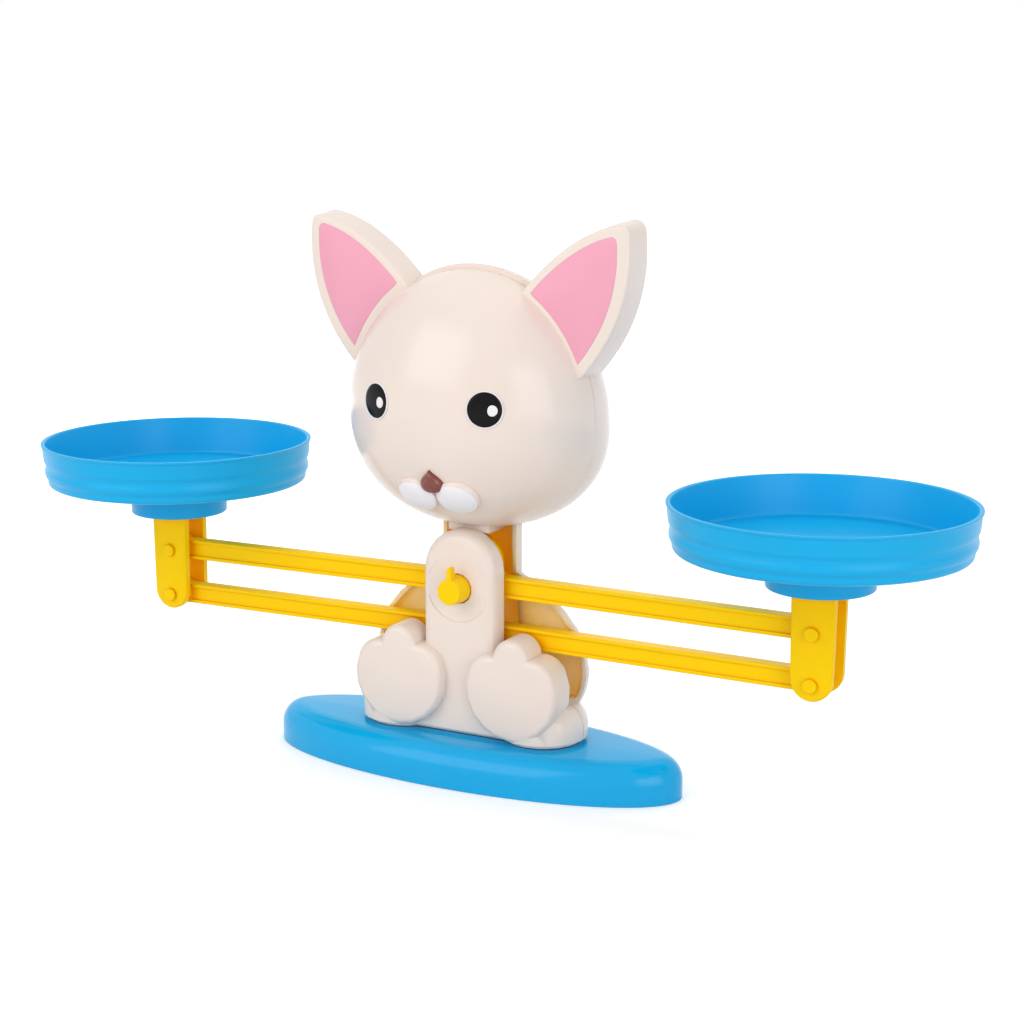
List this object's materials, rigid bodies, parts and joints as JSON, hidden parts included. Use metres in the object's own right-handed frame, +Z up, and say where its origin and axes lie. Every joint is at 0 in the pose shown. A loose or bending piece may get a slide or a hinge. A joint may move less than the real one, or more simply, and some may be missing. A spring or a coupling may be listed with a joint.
{
  "type": "toy balance scale",
  "caption": "Moulded plastic teaching balance: a seated cat on an oval base carries shallow round pans on parallel beams that keep them level as they tilt.",
  "frame": {"origin": "centre of the base's underside, on the surface that the toy stands on", "axes": "+X towards the pan on the viewer's right, -Y the way the face looks, +Z up"},
  "size_m": [0.3534, 0.1, 0.1943],
  "materials": {
    "cream_plastic": "gloss",
    "yellow_plastic": "satin",
    "blue_plastic": "gloss",
    "pink_paint": "satin",
    "brown_paint": "satin",
    "black_paint": "gloss",
    "white_paint": "gloss",
    "steel": "bright"
  },
  "bodies": {
    "stand": {"body_front": "cream_plastic", "body_back": "cream_plastic", "head_front": "cream_plastic", "head_back": "cream_plastic", "ear_left": "cream_plastic", "ear_right": "cream_plastic", "base": "blue_plastic", "ear_insert_left": "pink_paint", "ear_insert_right": "pink_paint", "nose": "brown_paint", "eye_left": "black_paint", "eye_right": "black_paint", "muzzle_left": "white_paint", "muzzle_right": "white_paint", "eye_glint_left": "white_paint", "eye_glint_right": "white_paint", "base_screw_front_left": "steel", "base_screw_back_left": "steel", "base_screw_front_right": "steel", "base_screw_back_right": "steel", "body_screw_left": "steel", "body_screw_right": "steel", "head_screw_left": "steel", "head_screw_right": "steel", "head_screw_top": "steel", "lower_axle": "steel"},
    "upper_beam": {"upper_beam": "yellow_plastic", "pivot_knob": "yellow_plastic"},
    "lower_beam": {"lower_beam": "yellow_plastic"},
    "left_carrier": {"left_post": "yellow_plastic", "left_pan": "blue_plastic", "left_upper_pin": "yellow_plastic", "left_lower_pin": "yellow_plastic"},
    "right_carrier": {"right_post": "yellow_plastic", "right_pan": "blue_plastic", "right_upper_pin": "yellow_plastic", "right_lower_pin": "yellow_plastic"}
  },
  "joints": [
    {"name": "upper_beam_tilt", "type": "hinge", "parent": "stand", "child": "upper_beam", "pos_m": [0, 0, 0.0671], "axis": [0, 1, 0], "range_deg": [-18, 18]},
    {"name": "lower_beam_tilt", "type": "hinge", "parent": "stand", "child": "lower_beam", "pos_m": [0, 0, 0.05], "axis": [0, 1, 0], "range_deg": [-18, 18]},
    {"name": "left_carrier_level", "type": "hinge", "parent": "upper_beam", "child": "left_carrier", "pos_m": [-0.1267, 0, 0.0661], "axis": [0, 1, 0], "range_deg": [-18, 18]},
    {"name": "right_carrier_level", "type": "hinge", "parent": "upper_beam", "child": "right_carrier", "pos_m": [0.1267, 0, 0.0661], "axis": [0, 1, 0], "range_deg": [-18, 18]}
  ],
  "couplings": [
    {"joint": "lower_beam_tilt", "follows": "upper_beam_tilt", "ratio": 1},
    {"joint": "left_carrier_level", "follows": "upper_beam_tilt", "ratio": -1},
    {"joint": "right_carrier_level", "follows": "upper_beam_tilt", "ratio": -1}
  ]
}
